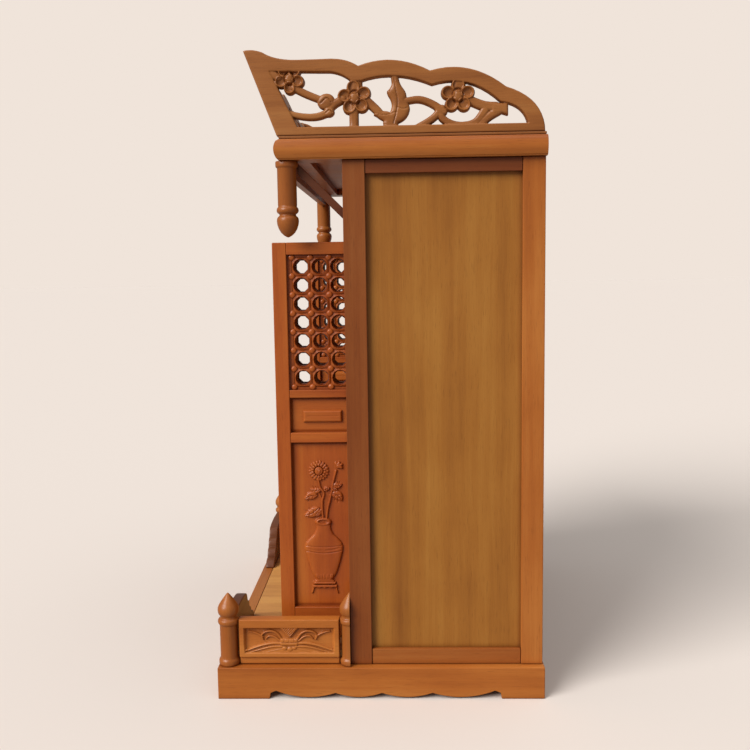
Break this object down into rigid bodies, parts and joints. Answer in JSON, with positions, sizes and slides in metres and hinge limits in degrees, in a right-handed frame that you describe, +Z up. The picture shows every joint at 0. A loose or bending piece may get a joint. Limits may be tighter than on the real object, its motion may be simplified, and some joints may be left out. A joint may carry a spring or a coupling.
{
  "type": "household altar cabinet",
  "caption": "Wooden household altar cabinet: railed forecourt, folding lattice doors with carved vase panels, hollow shrine body, moulded roof and a pierced blossom crest.",
  "frame": {"origin": "on the ground, under the middle of the cabinet's box", "axes": "+Z up, -Y to the front (the side the doors open to), +X to the right of someone facing it"},
  "size_m": [0.48, 0.352, 0.6801],
  "materials": {
    "frame_wood": "clear varnish over reddish-orange stained softwood, satin",
    "carved_wood": "carved softwood, stained brown and varnished, satin",
    "door_wood": "red-brown stain under clear varnish, satin",
    "panel_wood": "yellow-brown board with upright grain, varnished, satin",
    "deck_wood": "pale board, varnished, satin",
    "brass": "aged brass, satin"
  },
  "bodies": {
    "cabinet": {"base_apron_right": "frame_wood", "base_apron_left": "frame_wood", "base_apron_front": "frame_wood", "base_apron_back": "frame_wood", "deck_board": "deck_wood", "newel_right": "frame_wood", "newel_left": "frame_wood", "half_newel_right": "frame_wood", "half_newel_left": "frame_wood", "side_rail_right": "carved_wood", "side_rail_left": "carved_wood", "wing_right": "carved_wood", "wing_left": "carved_wood", "front_post_right": "frame_wood", "front_post_left": "frame_wood", "rear_post_right": "frame_wood", "rear_post_left": "frame_wood", "side_top_rail_right": "frame_wood", "side_top_rail_left": "frame_wood", "side_bottom_rail_right": "frame_wood", "side_bottom_rail_left": "frame_wood", "side_panel_right": "panel_wood", "side_panel_left": "panel_wood", "back_panel": "panel_wood", "threshold": "frame_wood", "transom": "carved_wood", "roof_slab": "frame_wood", "roof_plate": "frame_wood", "pendant_right": "frame_wood", "pendant_left": "frame_wood", "lintel": "frame_wood", "brace_right": "frame_wood", "brace_left": "frame_wood", "crest_side_right": "carved_wood", "crest_side_left": "carved_wood", "crest_front": "carved_wood"},
    "outer_door_right": {"outer_door_right_frame": "door_wood", "outer_door_right_lattice": "door_wood", "outer_door_right_tablet": "door_wood", "outer_door_right_vase_panel": "door_wood", "post_hinge_right_lower": "brass", "post_hinge_right_upper": "brass", "fold_hinge_right_lower": "brass", "fold_hinge_right_upper": "brass"},
    "inner_door_right": {"inner_door_right_frame": "door_wood", "inner_door_right_lattice": "door_wood", "inner_door_right_tablet": "door_wood", "inner_door_right_vase_panel": "door_wood"},
    "outer_door_left": {"outer_door_left_frame": "door_wood", "outer_door_left_lattice": "door_wood", "outer_door_left_tablet": "door_wood", "outer_door_left_vase_panel": "door_wood", "post_hinge_left_lower": "brass", "post_hinge_left_upper": "brass", "fold_hinge_left_lower": "brass", "fold_hinge_left_upper": "brass"},
    "inner_door_left": {"inner_door_left_frame": "door_wood", "inner_door_left_lattice": "door_wood", "inner_door_left_tablet": "door_wood", "inner_door_left_vase_panel": "door_wood"}
  },
  "joints": [
    {"name": "outer_door_right_hinge", "type": "hinge", "parent": "cabinet", "child": "outer_door_right", "pos_m": [0.202, -0.01, 0.27], "axis": [0, 0, 1], "range_deg": [-90, 0]},
    {"name": "inner_door_right_fold", "type": "hinge", "parent": "outer_door_right", "child": "inner_door_right", "pos_m": [0.185, -0.11, 0.27], "axis": [0, 0, 1], "range_deg": [0, 180]},
    {"name": "outer_door_left_hinge", "type": "hinge", "parent": "cabinet", "child": "outer_door_left", "pos_m": [-0.202, -0.01, 0.27], "axis": [0, 0, 1], "range_deg": [0, 90]},
    {"name": "inner_door_left_fold", "type": "hinge", "parent": "outer_door_left", "child": "inner_door_left", "pos_m": [-0.185, -0.11, 0.27], "axis": [0, 0, 1], "range_deg": [-180, 0]}
  ],
  "couplings": [
    {"joint": "inner_door_right_fold", "follows": "outer_door_right_hinge", "ratio": -2},
    {"joint": "inner_door_left_fold", "follows": "outer_door_left_hinge", "ratio": -2}
  ]
}
